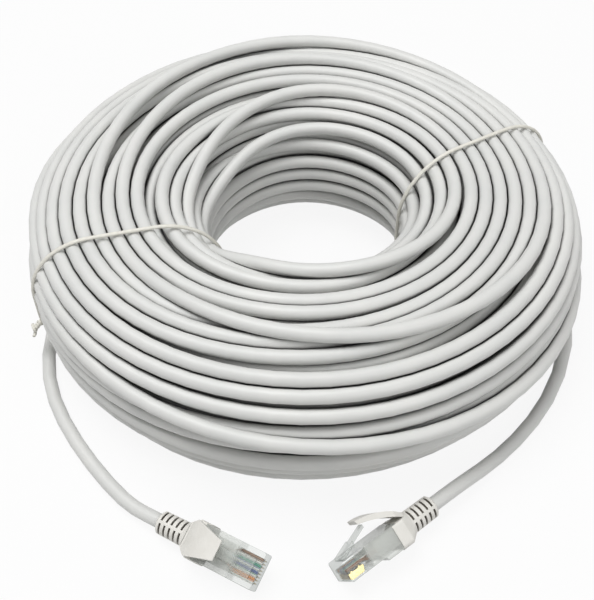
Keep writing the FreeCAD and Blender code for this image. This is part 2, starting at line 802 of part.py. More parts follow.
def make_jacket_end(label):
    cylinder = doc.addObject("Part::Cylinder", label)
    cylinder.Label = label
    cylinder.setExpression("Radius", cordHalf.text)
    cylinder.setExpression("Height", jacketEnd.text)
    return cylinder


wireNames = (
    "white_orange", "orange", "white_green", "blue", "white_blue", "green", "white_brown", "brown",
)


def wire_shape(index, name):
    # flat row over the contacts, then one of two rows of four that go into the jacket
    aside = mm("contactPitch") * (index - (mm("contactCount") - 1) / 2)
    column = index // 2 - 1.5
    inJacket = mm("contactPitch") * 1.12 * column
    level = rowHeight.number
    if index % 2:
        level = -level
    straight = 1.2
    points = [
        Vector(wireEnd.number, aside, rowHeight.number),
        Vector(flatStart.number, aside, rowHeight.number),
        Vector(splitStart.number, aside, level),
        Vector(jacketEnd.number + straight, inJacket, level),
        Vector(jacketEnd.number, inJacket, level),
    ]
    if index % 2 == 0:
        points.pop(1)
    path = rounded_path(points, name)
    return tube(path, points[1] - points[0], mm("wireDiameter"), int(mm("cordSides")), name)


def make_plug(side):
    # every piece of one plug, still in the plug's own frame
    pieces = [
        make_housing(f"housing_{side}"),
        make_latch(f"latch_{side}"),
        make_contacts(f"contacts_{side}"),
        make_boot(f"boot_{side}"),
        make_tongue(f"boot_tongue_{side}"),
        make_jacket_end(f"jacket_end_{side}"),
    ]
    for index, colour in enumerate(wireNames):
        name = f"wire_{colour}_{side}"
        pieces.append(plain_feature(name, wire_shape(index, name)))
    return pieces


def set_down(pieces, x, y, turn, noseUp, roll):
    # rolls the plug about its cable, lifts its nose, turns it and lowers it until it touches z = 0
    lie = FreeCAD.Rotation(Vector(0, 0, 1), turn)
    lie = lie.multiply(FreeCAD.Rotation(Vector(0, 1, 0), -noseUp))
    lie = lie.multiply(FreeCAD.Rotation(Vector(1, 0, 0), roll))
    lowest = min(
        piece.Shape.transformed(FreeCAD.Placement(Vector(), lie).toMatrix()).optimalBoundingBox().ZMin
        for piece in pieces
    )
    place = FreeCAD.Placement(Vector(x, y, -lowest), lie)
    for piece in pieces:
        if piece.TypeId == "Part::Cylinder":
            piece.Placement = place.multiply(FreeCAD.Placement(Vector(), FreeCAD.Rotation(Vector(0, 1, 0), 90)))
        else:
            piece.Placement = place
    return place


places = {}
for side in ("left", "right"):
    pieces = make_plug(side)
    doc.recompute()
    places[side] = set_down(
        pieces, mm(f"{side}BootX"), mm(f"{side}BootY"), mm(f"{side}Turn"), mm(f"{side}NoseUp"), mm(f"{side}Roll"),
    )
    spot = places[side].Base
    print(f"plug {side}: boot rear at {spot.x:.2f}, {spot.y:.2f}, {spot.z:.2f}")


# The free ends of the cable: points chosen by hand, from the coil to the boot

tailBends = {
    "left": ((-87.4, 14.8, 4.0), (-94.0, -9.5, 2.6), (-91.6, -31.0, 2.6), (-83.4, -48.4, 2.6), (-71.0, -66.0, 2.6)),
    "right": ((96.6, -7.5, 11.4), (88.8, -32.5, 6.0), (77.5, -48.8, 2.6), (62.8, -63.5, 2.6)),
}
for side, (start, way) in (("left", coilEnd), ("right", (coilBegin[0], -coilBegin[1]))):
    place = places[side]
    rear = place.multVec(Vector(0, 0, 0))
    ahead = place.multVec(Vector(-mm("bootStraight"), 0, 0))
    points = [Vector(*point) for point in tailBends[side]]
    lead = (points[0] - start).Length
    points[0] = start + way * lead
    points = [start] + points + [ahead, rear]
    name = f"cable_tail_{side}"
    path = rounded_path(points, name)
    print(f"{name}: points " + ", ".join(f"({point.x:.1f}, {point.y:.1f}, {point.z:.1f})" for point in points))
    plain_feature(name, tube(path, way, mm("cordDiameter"), int(mm("cordSides")), name))

doc.recompute()

# Checks, then one STEP file for each sub-part

labels = ["coil_turns", "coil_core", "tie_left", "tie_right", "cable_tail_left", "cable_tail_right"]
for side in ("left", "right"):
    labels += [f"{piece}_{side}" for piece in ("housing", "latch", "contacts", "boot", "boot_tongue", "jacket_end")]
    labels += [f"wire_{colour}_{side}" for colour in wireNames]

for item in doc.Objects:
    if "Invalid" in item.State or "Error" in item.State:
        raise RuntimeError(f"{item.Label} failed: {item.State}")
subParts = {label: doc.getObjectsByLabel(label)[0] for label in labels}
for label, item in subParts.items():
    if item.Shape.isNull() or not item.Shape.isValid() or not item.Shape.Solids:
        raise RuntimeError(f"{label} has no valid solid")

os.makedirs("parts", exist_ok=True)
whole = FreeCAD.BoundBox()
for label, item in subParts.items():
    item.Shape.exportStep(os.path.join("parts", label + ".step"))
    whole.add(item.Shape.optimalBoundingBox())
print(f"{len(subParts)} sub-parts written")
print(f"box {whole.XMin:.2f} {whole.XMax:.2f}, {whole.YMin:.2f} {whole.YMax:.2f}, {whole.ZMin:.2f} {whole.ZMax:.2f}")
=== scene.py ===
import json
import math
import bpy
import numpy as np
from mathutils import Matrix, Vector


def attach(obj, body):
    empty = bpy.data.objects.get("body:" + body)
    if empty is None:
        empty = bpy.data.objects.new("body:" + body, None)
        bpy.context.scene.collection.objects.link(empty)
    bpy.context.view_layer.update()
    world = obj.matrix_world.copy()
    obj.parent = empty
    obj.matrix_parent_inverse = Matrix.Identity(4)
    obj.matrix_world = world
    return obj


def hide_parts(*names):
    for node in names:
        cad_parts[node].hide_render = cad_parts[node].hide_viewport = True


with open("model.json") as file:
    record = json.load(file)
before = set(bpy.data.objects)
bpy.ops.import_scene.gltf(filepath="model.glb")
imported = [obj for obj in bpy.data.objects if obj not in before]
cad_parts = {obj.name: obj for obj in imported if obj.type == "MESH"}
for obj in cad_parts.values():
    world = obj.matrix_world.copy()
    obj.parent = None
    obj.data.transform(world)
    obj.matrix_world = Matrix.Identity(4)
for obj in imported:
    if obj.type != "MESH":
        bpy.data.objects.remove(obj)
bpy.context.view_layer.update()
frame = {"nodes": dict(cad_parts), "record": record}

# Looks of a coiled network patch cable: one continuous cord from boot to boot, two twist ties,
# a clear plug and a pale grooved boot on each end. Shapes are in millimetres, and scaled to metres
# when a mesh is made. The camera, the lamps and the materials' noise and bump are in metres.

metre = 0.001
record = frame["record"]
random = np.random.default_rng(11)


# Camera, fitted to the photograph's outline of the coil and both plugs

cameraFit = {
    "lens": 58.6, "sensor": 36.0, "place": (-0.0033, -0.2372, 0.2820), "tilt": 41.1, "near": 0.01, "far": 20,
}
cameraData = bpy.data.cameras.new("photoCamera")
cameraData.lens = cameraFit["lens"]
cameraData.sensor_width = cameraFit["sensor"]
cameraData.clip_start = cameraFit["near"]
cameraData.clip_end = cameraFit["far"]
cameraObject = bpy.data.objects.new("photoCamera", cameraData)
cameraObject.location = cameraFit["place"]
cameraObject.rotation_euler = (math.radians(cameraFit["tilt"]), 0, 0)
bpy.context.scene.collection.objects.link(cameraObject)
bpy.context.scene.camera = cameraObject


# Meshes from arrays

def makeMesh(name, points, faces, material, uvs):
    mesh = bpy.data.meshes.new(name)
    mesh.from_pydata((points * metre).tolist(), [], faces)
    layer = mesh.uv_layers.new(name="UVMap")
    layer.data.foreach_set("uv", uvs.ravel())
    mesh.polygons.foreach_set("use_smooth", [True] * len(mesh.polygons))
    mesh.materials.append(material)
    mesh.update()
    piece = bpy.data.objects.new(name, mesh)
    bpy.context.scene.collection.objects.link(piece)
    return piece


def tubeMesh(name, path, radius, sides, material, flatten=1.0, firstUp=(0, 0, 1)):
    # rings square to the path: p + radius * (cos a * side + sin a * up), carried along without twist
    path = np.asarray(path, dtype=float)
    ways = np.gradient(path, axis=0)
    ways /= np.linalg.norm(ways, axis=1)[:, None]
    up = np.asarray(firstUp, dtype=float)
    angles = np.arange(sides) * 2 * math.pi / sides
    rings = []
    for point, way in zip(path, ways):
        up = up - way * up.dot(way)
        up /= np.linalg.norm(up)
        side = np.cross(way, up)
        ring = np.outer(np.cos(angles) * radius, side) + np.outer(np.sin(angles) * radius * flatten, up)
        rings.append(point + ring)

    # four corners for each row and column of the tube, then a cap at each end
    row, column = np.meshgrid(np.arange(len(path) - 1), np.arange(sides), indexing="ij")
    after = (column + 1) % sides
    faces = np.stack((
        row * sides + column, row * sides + after, (row + 1) * sides + after, (row + 1) * sides + column,
    ), -1).reshape(-1, 4).tolist()
    last = (len(path) - 1) * sides
    faces += [list(range(sides))[::-1], list(range(last, last + sides))]

    # u is the way along in metres, v the share of the way round
    lengths = np.concatenate(([0], np.cumsum(np.linalg.norm(np.diff(path, axis=0), axis=1)))) * metre
    near, far = lengths[row], lengths[row + 1]
    low, high = column / sides, (column + 1) / sides
    uvs = np.stack((near, low, near, high, far, high, far, low), -1).reshape(-1, 2)
    uvs = np.vstack((uvs, np.zeros((2 * sides, 2))))
    return makeMesh(name, np.concatenate(rings), faces, material, uvs)


def splinePoints(controls, steps):
    # uniform cubic B-spline, each span between four controls a, b, c and d:
    # ((1-t)^3 a + (3t^3 - 6t^2 + 4) b + (-3t^3 + 3t^2 + 3t + 1) c + t^3 d) / 6
    controls = np.asarray(controls, dtype=float)
    controls = np.vstack((2 * controls[0] - controls[1], controls, 2 * controls[-1] - controls[-2]))
    spans = len(controls) - 3
    t = np.arange(steps)[None, :, None] / steps
    a, b, c, d = (controls[index:index + spans][:, None, :] for index in range(4))
    points = ((1 - t) ** 3 * a + (3 * t ** 3 - 6 * t ** 2 + 4) * b
              + (-3 * t ** 3 + 3 * t ** 2 + 3 * t + 1) * c + t ** 3 * d) / 6
    return np.vstack((points.reshape(-1, controls.shape[1]), controls[-2]))


# Materials

def newMaterial(name):
    material = bpy.data.materials.new(name)
    material.use_nodes = True
    return material, material.node_tree.nodes, material.node_tree.links


def noiseNode(nodes, links, coordinates, scale, detail, stretch=(1, 1, 1)):
    mapping = nodes.new("ShaderNodeMapping")
    mapping.inputs["Scale"].default_value = stretch
    noise = nodes.new("ShaderNodeTexNoise")
    noise.inputs["Scale"].default_value = scale
    noise.inputs["Detail"].default_value = detail
    links.new(coordinates, mapping.inputs["Vector"])
    links.new(mapping.outputs["Vector"], noise.inputs["Vector"])
    return noise.outputs["Fac"]


def rangeNode(nodes, links, value, low, high, fromLow=0.3, fromHigh=0.7):
    # by default from the span in which most of a noise lies
    node = nodes.new("ShaderNodeMapRange")
    node.inputs["From Min"].default_value = fromLow
    node.inputs["From Max"].default_value = fromHigh
    node.inputs["To Min"].default_value = low
    node.inputs["To Max"].default_value = high
    links.new(value, node.inputs["Value"])
    return node.outputs["Result"]


def mixNode(nodes, links, factor, first, second):
    node = nodes.new("ShaderNodeMix")
    node.data_type = "RGBA"
    links.new(factor, node.inputs["Factor"])
    for socket, colour in (("A", first), ("B", second)):
        target = [item for item in node.inputs if item.name == socket and item.type == "RGBA"][0]
        if isinstance(colour, tuple):
            target.default_value = (*colour, 1)
        else:
            links.new(colour, target)
    return [item for item in node.outputs if item.type == "RGBA"][0]


def bumpNode(nodes, links, height, strength, distance):
    bump = nodes.new("ShaderNodeBump")
    bump.inputs["Strength"].default_value = strength
    bump.inputs["Distance"].default_value = distance
    links.new(height, bump.inputs["Height"])
    return bump.outputs["Normal"]


def vectorPart(nodes, links, vector, axis):
    split = nodes.new("ShaderNodeSeparateXYZ")
    links.new(vector, split.inputs["Vector"])
    return split.outputs[axis]


def mathNode(nodes, links, operation, *values):
    node = nodes.new("ShaderNodeMath")
    node.operation = operation
    for socket, value in zip(node.inputs, values):
        if isinstance(value, (int, float)):
            socket.default_value = value
        else:
            links.new(value, socket)
    return node.outputs["Value"]


plasticGrain = {"mottleDetail": 4, "grainDetail": 2, "depth": 0.0001}


def plasticMaterial(look):
    # mottled, slightly grained plastic: colour and roughness by a wide noise, bump by a fine one
    material, nodes, links = newMaterial(look["name"])
    shader = nodes["Principled BSDF"]
    coordinates = nodes.new("ShaderNodeTexCoord").outputs["Object"]
    wide = noiseNode(nodes, links, coordinates, look["mottle"], plasticGrain["mottleDetail"])
    fine = noiseNode(nodes, links, coordinates, look["grain"], plasticGrain["grainDetail"])
    mottle = rangeNode(nodes, links, wide, 0, 1)
    links.new(mixNode(nodes, links, mottle, look["colour"], look["shade"]), shader.inputs["Base Color"])
    links.new(rangeNode(nodes, links, wide, *look["roughness"]), shader.inputs["Roughness"])
    links.new(bumpNode(nodes, links, fine, look["bump"], plasticGrain["depth"]), shader.inputs["Normal"])
    shader.inputs["Specular IOR Level"].default_value = look["specular"]
    return material


jacketLook = {
    "name": "jacket", "colour": (0.665, 0.665, 0.645), "shade": (0.62, 0.625, 0.61),
    "mottle": 60.0, "grain": 1500.0, "roughness": (0.36, 0.46), "bump": 0.08, "specular": 0.42,
}
# painted shade in the gaps between strands: its dark colour, how far the occlusion looks, and the occlusion values
# at which it starts and ends
creviceShadeLook = {"colour": (0.05, 0.05, 0.048), "reach": 0.0036, "deep": 0.16, "open": 0.52, "samples": 12}


def paintCreviceShade(material):
    # painted shade: the jacket's colour goes dark where strands meet and little of its surroundings is open, found
    # by an ambient occlusion node
    nodes, links = material.node_tree.nodes, material.node_tree.links
    shader = nodes["Principled BSDF"]
    seen = nodes.new("ShaderNodeAmbientOcclusion")
    seen.samples = creviceShadeLook["samples"]
    seen.only_local = True
    seen.inputs["Distance"].default_value = creviceShadeLook["reach"]
    shade = rangeNode(nodes, links, seen.outputs["AO"], 1, 0, creviceShadeLook["deep"], creviceShadeLook["open"])
    plain = shader.inputs["Base Color"].links[0].from_socket
    links.new(mixNode(nodes, links, shade, plain, creviceShadeLook["colour"]), shader.inputs["Base Color"])
    return material


# jacket plastic, with painted shade in the gaps between strands
jacketMaterial = paintCreviceShade(plasticMaterial(jacketLook))

tieLook = {
    "name": "tieSleeve", "colour": (0.76, 0.745, 0.68), "shade": (0.68, 0.665, 0.60),
    "mottle": 700.0, "grain": 3500.0, "roughness": (0.5, 0.62), "bump": 0.25, "specular": 0.3,
}
tieMaterial = plasticMaterial(tieLook)

goldLook = {
    "colour": (1.0, 0.83, 0.42), "worn": (0.96, 0.72, 0.31), "wear": 1500.0, "detail": 3,
    "roughness": (0.18, 0.34),
}


def goldMaterial(look):
    material, nodes, links = newMaterial("goldContact")
    shader = nodes["Principled BSDF"]
    coordinates = nodes.new("ShaderNodeTexCoord").outputs["Object"]
    wear = noiseNode(nodes, links, coordinates, look["wear"], look["detail"])
    worn = rangeNode(nodes, links, wear, 0, 1)
    links.new(mixNode(nodes, links, worn, look["colour"], look["worn"]), shader.inputs["Base Color"])
    links.new(rangeNode(nodes, links, wear, *look["roughness"]), shader.inputs["Roughness"])
    shader.inputs["Metallic"].default_value = 1.0
    return material


goldContact = goldMaterial(goldLook)

wireLook = {
    "grain": 6.0, "detail": 3, "stretch": (800, 3, 1), "shade": 0.86, "roughness": (0.3, 0.42),
    "white": (0.84, 0.83, 0.80), "bands": 2, "bandEdge": (0.35, 0.5),
}


def wireMaterial(name, colour, striped):
    # round insulation; a striped one is white, with colour where sin(2 pi * bands * v) is high
    material, nodes, links = newMaterial(name)
    shader = nodes["Principled BSDF"]
    coordinates = nodes.new("ShaderNodeTexCoord").outputs["UV"]
    grain = noiseNode(nodes, links, coordinates, wireLook["grain"], wireLook["detail"], wireLook["stretch"])
    shade = tuple(part * wireLook["shade"] for part in colour)
    surface = mixNode(nodes, links, rangeNode(nodes, links, grain, 0, 1), colour, shade)
    if striped:
        around = vectorPart(nodes, links, coordinates, "Y")
        turn = mathNode(nodes, links, "MULTIPLY", around, 2 * math.pi * wireLook["bands"])
        wave = mathNode(nodes, links, "SINE", turn)
        band = rangeNode(nodes, links, wave, 0, 1, *wireLook["bandEdge"])
        surface = mixNode(nodes, links, band, wireLook["white"], surface)
    links.new(surface, shader.inputs["Base Color"])
    links.new(rangeNode(nodes, links, grain, *wireLook["roughness"]), shader.inputs["Roughness"])
    return material


# Where the plugs lie: x forward from the rear of the boot, y to the side, z towards the latch

plugSize = {"nose": 37.36, "noseUp": 0.3, "jacketEnd": 24.4}


def plugPlace(side):
    # forward is the nose mount's axis, and aside is the axis of the tongue's hinge
    mount = [item for item in record["mounts"] if item["name"] == f"plug_{side}_nose"][0]
    hinge = [item for item in record["behaviour"]["joints"] if item["name"] == f"tongue_{side}_hinge"][0]
    forward = Vector(mount["axis"]).normalized()
    aside = Vector(hinge["axis"]).normalized()
    upward = forward.cross(aside)
    turn = Matrix((forward, aside, upward)).transposed()
    nose = Vector(mount["pos_m"]) / metre
    rear = nose - forward * plugSize["nose"] - upward * plugSize["noseUp"]
    return np.array(turn), np.array(rear)


places = {side: plugPlace(side) for side in ("left", "right")}


def fromPlug(side, points):
    turn, rear = places[side]
    return np.asarray(points, dtype=float) @ turn.T + rear


def plugCoordinates(nodes, links, side):
    # Object coordinates turned into the plug's own frame: x along the cable, z towards the latch
    turn, rear = places[side]
    mapping = nodes.new("ShaderNodeMapping")
    mapping.inputs["Rotation"].default_value = Matrix(turn.T.tolist()).to_euler("XYZ")
    mapping.inputs["Location"].default_value = -(turn.T @ rear) * metre
    links.new(nodes.new("ShaderNodeTexCoord").outputs["Object"], mapping.inputs["Vector"])
    return mapping.outputs["Vector"]


bootLook = {
    "colour": (0.745, 0.73, 0.69), "shade": (0.70, 0.685, 0.64),
    "mottle": 250.0, "grain": 2600.0, "roughness": (0.42, 0.55), "bump": 0.12, "specular": 0.35,
}
# painted shade at the bottom of the boot's grooves: its dark colour, the radii between which it fades, and where
# along the boot it starts and ends
grooveShadeLook = {
    "colour": (0.13, 0.115, 0.095), "bottom": 3.05, "rim": 3.8, "rear": 0.9, "front": 9.75, "soft": 0.15,
}


def bootMaterial(side):
    # the plain boot plastic, with painted shade darkening the bottom of the strain relief's grooves
    material = plasticMaterial({**bootLook, "name": f"bootPlastic{side.title()}"})
    nodes, links = material.node_tree.nodes, material.node_tree.links
    bottom, rim, rear, front, soft = (
        grooveShadeLook[key] * metre for key in ("bottom", "rim", "rear", "front", "soft")
    )
    place = plugCoordinates(nodes, links, side)
    flat = nodes.new("ShaderNodeVectorMath")
    flat.operation = "MULTIPLY"
    flat.inputs[1].default_value = (0, 1, 1)
    links.new(place, flat.inputs[0])
    radius = nodes.new("ShaderNodeVectorMath")
    radius.operation = "LENGTH"
    links.new(flat.outputs["Vector"], radius.inputs[0])
    deep = rangeNode(nodes, links, radius.outputs["Value"], 1, 0, bottom, rim)
    along = vectorPart(nodes, links, place, "X")
    ahead = rangeNode(nodes, links, along, 0, 1, rear - soft, rear)
    behind = rangeNode(nodes, links, along, 1, 0, front, front + soft)
    # painted shade: full at the groove bottoms, between the rear and front ends of the strain relief
    grooveShade = mathNode(nodes, links, "MULTIPLY", deep, mathNode(nodes, links, "MULTIPLY", ahead, behind))
    shader = nodes["Principled BSDF"]
    plain = shader.inputs["Base Color"].links[0].from_socket
    links.new(mixNode(nodes, links, grooveShade, plain, grooveShadeLook["colour"]), shader.inputs["Base Color"])
    return material


# the edge colour is a painted shade for faces seen at a grazing angle, standing in for the dark edges that
# refraction gives
clearLook = {
    "tint": (0.962, 0.970, 0.962), "streak": (0.925, 0.935, 0.93), "edge": (0.55, 0.57, 0.56),
    "edgeWidth": 0.7, "edgeBlend": 0.5, "cloud": (0.76, 0.775, 0.74), "frosted": 28.3, "soft": 0.9,
    "flow": 260.0, "detail": 2, "stretch": (0.4, 1, 1), "bump": 0.05, "depth": 0.0004,
    "roughness": 0.08, "ior": 1.5,
    "housing": {"haze": 0.06, "frosting": 0.42, "edgeLow": 0.2},
    "latch": {"haze": 0.13, "frosting": 0.16, "edgeLow": 0.3},
}


def clearMaterial(piece, side):
    # clear moulded plastic: see-through body, frosted behind, under a gloss; its edges are greyer by painted shade,
    # where the see-through tint darkens on faces seen at a grazing angle
    material, nodes, links = newMaterial(f"clear{piece.title()}{side.title()}")
    look = {**clearLook, **clearLook[piece]}
    output = nodes["Material Output"]
    nodes.remove(nodes["Principled BSDF"])
    place = plugCoordinates(nodes, links, side)
    flow = noiseNode(nodes, links, place, look["flow"], look["detail"], look["stretch"])
    normal = bumpNode(nodes, links, flow, look["bump"], look["depth"])

    # painted shade: the see-through tint turns to the edge grey where a face is seen at a grazing angle
    rim = nodes.new("ShaderNodeLayerWeight")
    rim.inputs["Blend"].default_value = look["edgeBlend"]
    through = nodes.new("ShaderNodeBsdfTransparent")
    tint = mixNode(nodes, links, rangeNode(nodes, links, flow, 0, 1), look["tint"], look["streak"])
    edgeHigh = look["edgeLow"] + look["edgeWidth"]
    edge = rangeNode(nodes, links, rim.outputs["Facing"], 0, 1, look["edgeLow"], edgeHigh)
    links.new(mixNode(nodes, links, edge, tint, look["edge"]), through.inputs["Color"])

    # frosted from the rear to just behind the contacts
    cloud = nodes.new("ShaderNodeBsdfDiffuse")
    cloud.inputs["Color"].default_value = (*look["cloud"], 1)
    body = nodes.new("ShaderNodeMixShader")
    along = vectorPart(nodes, links, place, "X")
    last, soft = look["frosted"] * metre, look["soft"] * metre
    behind = rangeNode(nodes, links, along, look["frosting"], look["haze"], last, last + soft)
    links.new(behind, body.inputs["Fac"])
    links.new(through.outputs["BSDF"], body.inputs[1])
    links.new(cloud.outputs["BSDF"], body.inputs[2])

    # only the outside of a face shines, so that no light is caught between the inner ones
    gloss = nodes.new("ShaderNodeBsdfGlossy")
    gloss.inputs["Roughness"].default_value = look["roughness"]
    links.new(normal, gloss.inputs["Normal"])
    fresnel = nodes.new("ShaderNodeFresnel")
    fresnel.inputs["IOR"].default_value = look["ior"]
    links.new(normal, fresnel.inputs["Normal"])
    outside = rangeNode(nodes, links, nodes.new("ShaderNodeNewGeometry").outputs["Backfacing"], 1, 0, 0, 1)
    mix = nodes.new("ShaderNodeMixShader")
    links.new(mathNode(nodes, links, "MULTIPLY", fresnel.outputs["Fac"], outside), mix.inputs["Fac"])
    links.new(body.outputs["Shader"], mix.inputs[1])
    links.new(gloss.outputs["BSDF"], mix.inputs[2])
    links.new(mix.outputs["Shader"], output.inputs["Surface"])
    return material


# The cord: about a hundred turns, packed by pushing overlapping strands apart at every angle

coil = {
    "radius": 2.38, "sides": 14, "steps": 2, "ring": 64.0, "halfWidth": 30.2, "halfHeight": 25.0,
    "corner": 20.0, "middle": 27.5, "back": 16.0, "startAngle": 10.0, "endAngle": 160.0, "slices": 32,
    "start": (27.5, -15.5), "end": (17.7, -24.3), "widen": ((192, 3.1), (12, 2.7), (100, 1.5), (270, -1.8)),
}
layers = {
    "outer": (0, 1, 2, 6, 3, 4, 5, 7, 8, 12, 9, 10, 11, 13, 14, 18, 15, 16, 17, 19, 20, 21, 22, 23, 24, 25,
              26, 27, 28, 29, 30, 31, 32, 33),
    "startDrop": -16.0, "outerStep": 5.17, "apart": (15, 25, 1.15), "inner": (29, 22, 12), "layerStep": 4.6,
    "leave": (0.4, 0.8), "rise": 4.4, "riseShape": 0.8, "front": (0.58, 0.95), "behind": (0.07, 0.47),
}
packing = {
    "rounds": 260, "lastRounds": 40, "gap": 5.02, "pull": 0.05, "push": 0.42, "smooth": 0.3, "lastSmooth": 0.1,
    "drift": 0.8, "driftPitches": (0.96, 1.05, 2.07, 2.94),
    "wander": 0.42, "wanderPitches": (0.37, 0.61, 1.43, 1.73),
    "bulge": 1.0, "bulgeMost": 1.5, "bulgePitches": (0.43, 1.29), "bulgePhase": 1.0,
}
ties = {
    "thickness": 0.7, "flatten": 0.8, "firstUp": (0, 1, 0.3), "sides": 10, "steps": 2,
    "gap": 0.12, "squeeze": 0.7, "hold": (12, 30), "stations": 90, "share": 0.985, "shift": 8.0, "lean": 1.1,
    "left": {"inner": 211.0, "outer": 199.8, "draw": 1.0},
    "right": {"inner": 10.0, "outer": 22.2, "draw": 0.2},
}


def outlinePoint(distance, inset):
    # the point so far round a rounded rectangle, upward from the middle of the bundle's outer wall
    corner = coil["corner"] - inset
    wide = coil["halfWidth"] - coil["corner"]
    tall = coil["halfHeight"] - coil["corner"]
    arc = math.pi * corner / 2
    stretches = (
        (2 * tall, 0, (wide, 0)), (arc, 0, (wide, tall)),
        (2 * wide, 90, (0, tall)), (arc, 90, (-wide, tall)),
        (2 * tall, 180, (-wide, 0)), (arc, 180, (-wide, -tall)),
        (2 * wide, 270, (0, -tall)), (arc, 270, (wide, -tall)),
    )
    total = sum(item[0] for item in stretches)
    distance = (distance + tall) % total
    for index, (length, angle, centre) in enumerate(stretches):
        if distance <= length:
            break
        distance -= length
    turn = math.radians(angle)
    if index % 2:
        turn += distance / corner
        return centre[0] + corner * math.cos(turn), centre[1] + corner * math.sin(turn)
    slide = distance - length / 2
    across, up = math.cos(turn), math.sin(turn)
    return centre[0] + across * corner - up * slide, centre[1] + up * corner + across * slide


def outlineLength(inset):
    corner = coil["corner"] - inset
    return 4 * (coil["halfWidth"] + coil["halfHeight"] - 2 * coil["corner"]) + 2 * math.pi * corner


def easeIn(part):
    # 3t^2 - 2t^3, kept between 0 and 1
    part = min(max(part, 0.0), 1.0)
    return part * part * (3 - 2 * part)


def outerDistance(place):
    # drop + step * place, and a little extra for each place down the inner wall, where turns stand apart
    first, last, extra = layers["apart"]
    return layers["startDrop"] + layers["outerStep"] * place + extra * min(max(place - first, 0), last - first)


def outerHomes():
    # outer layer, slice by slice: a turn slides to the next place, or rides over others to a farther one
    homes = []
    rises = []
    order = layers["outer"]
    for now, after in zip(order, order[1:]):
        rides = abs(after - now) > 1
        low, high = (0.0, 1.0)
        if rides:
            low, high = layers["front"] if after < now else layers["behind"]
        for step in range(coil["slices"]):
            part = (step / coil["slices"] - low) / (high - low)
            rise = 0.0
            if rides:
                rise = layers["rise"] * math.sin(math.pi * min(max(part, 0), 1)) ** layers["riseShape"]
            place = now + (after - now) * easeIn(part)
            homes.append(outlinePoint(outerDistance(place), -rise))
            rises.append(rise)
    return homes, rises


def innerSlots():
    # one place in the section for each turn of the inner layers, then out again below
    slots = [outlinePoint(outerDistance(layers["outer"][-1]), 0)]
    for layer, count in enumerate(layers["inner"], start=1):
        inset = layers["layerStep"] * layer
        length = outlineLength(inset)
        slots += [outlinePoint(layers["startDrop"] + length * index / count, inset) for index in range(count)]
    last = slots[-1]
    for step in layers["leave"]:
        slots.append(tuple(last[axis] * (1 - step) + coil["end"][axis] * step for axis in (0, 1)))
    slots += [coil["end"]] * 2
    return np.array(slots)


def squeezeAt(angles):
    # how far the twist ties draw the bundle in, by angle round the coil in degrees
    near, far = ties["hold"]
    total = np.zeros_like(angles)
    for name in ("left", "right"):
        middle = (ties[name]["inner"] + ties[name]["outer"]) / 2
        off = np.abs((angles - middle + 180) % 360 - 180)
        part = np.clip((far - off) / (far - near), 0, 1)
        total += ties["squeeze"] * part ** 2 * (3 - 2 * part)
    return total


def widenAt(turn):
    # the ring isn't quite round: sum of extra * cos^3 of the angle from each of its wider or flatter places
    return sum(
        extra * np.clip(np.cos(turn - math.radians(angle)), 0, None) ** 3 for angle, extra in coil["widen"]
    )


def keepInside(points, inset):
    # moves points that lie outside the rounded rectangle back onto it
    corner = coil["corner"]
    wide = coil["halfWidth"] - corner
    tall = coil["halfHeight"] - corner
    inner = np.stack((np.clip(points[..., 0], -wide, wide), np.clip(points[..., 1], -tall, tall)), -1)
    off = points - inner
    reach = np.linalg.norm(off, axis=-1)
    limit = corner - inset
    scale = np.where(reach > limit, limit / np.maximum(reach, 1e-6), 1.0)
    return inner + off * scale[..., None]


